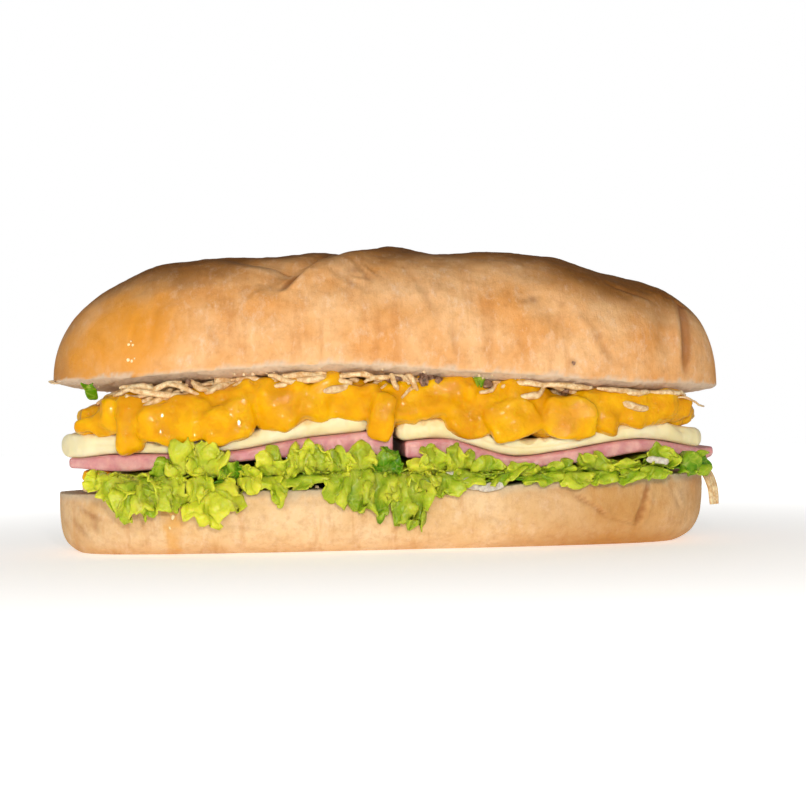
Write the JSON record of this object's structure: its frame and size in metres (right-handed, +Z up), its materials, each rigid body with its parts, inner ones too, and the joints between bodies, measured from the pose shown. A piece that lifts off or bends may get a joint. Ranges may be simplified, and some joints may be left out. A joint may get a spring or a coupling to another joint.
{
  "type": "submarine sandwich",
  "caption": "Long split roll filled with ham, cheese, frilled lettuce, diced yellow fruit and shredded chicken, lying flat.",
  "frame": {"origin": "centre of the footprint on the surface the sandwich lies on", "axes": "+X along the roll to the right as seen from its front, +Y to its back, +Z up"},
  "size_m": [0.2258, 0.0937, 0.1003],
  "materials": {
    "crust": "soft baked bread crust, golden tan",
    "crust_pale": "soft baked bread crust, pale peach tan",
    "ham": "moist cooked ham, pink",
    "cheese": "soft mild cheese, cream yellow",
    "lettuce": "fresh leaf, yellow green with a light sheen",
    "fruit": "wet translucent fruit flesh, deep yellow",
    "chicken": "cooked shredded meat, light tan",
    "onion": "moist translucent slice, off-white"
  },
  "bodies": {
    "root": {"top_bun": "crust", "bottom_bun": "crust_pale", "ham_left": "ham", "ham_right": "ham", "cheese_left": "cheese", "cheese_right": "cheese", "lettuce_left": "lettuce", "lettuce_middle": "lettuce", "lettuce_right": "lettuce", "diced_fruit": "fruit", "shredded_chicken": "chicken", "fruit_scrap": "fruit", "chicken_scrap": "chicken", "chicken_strip": "chicken", "onion_scrap": "onion"}
  },
  "joints": []
}
